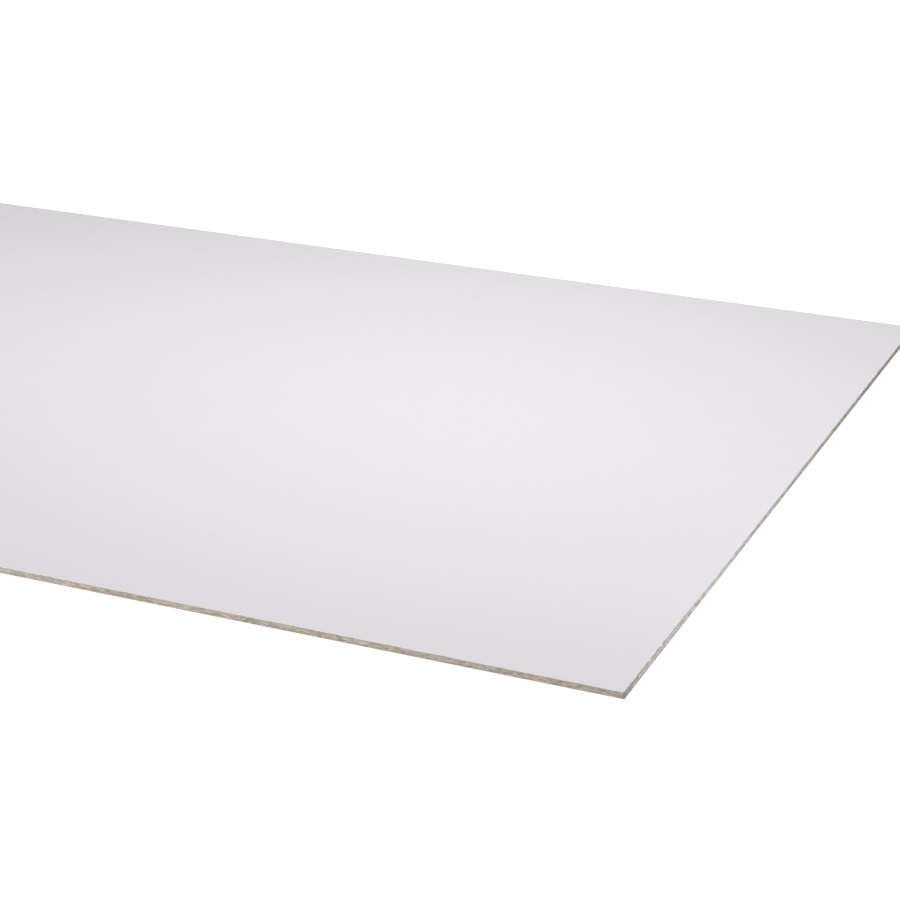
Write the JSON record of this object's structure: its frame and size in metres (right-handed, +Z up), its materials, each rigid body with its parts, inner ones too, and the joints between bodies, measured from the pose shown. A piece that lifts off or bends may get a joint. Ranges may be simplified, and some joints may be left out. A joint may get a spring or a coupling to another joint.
{
  "type": "door panel sheet",
  "caption": "Thin rectangular particleboard sheet, white on one face and bare on the other, fixed over a door leaf to give it a new flat face.",
  "frame": {"origin": "middle of the bare underside, on the surface that the sheet lies on", "axes": "+X along the length, +Y along the width, +Z up through the thickness and out of the white face"},
  "size_m": [2.015, 0.93, 0.006],
  "materials": {
    "white_faced_board": "satin",
    "bare_particleboard": "matte"
  },
  "bodies": {
    "root": {"door_panel_sheet": "white_faced_board"}
  },
  "joints": []
}
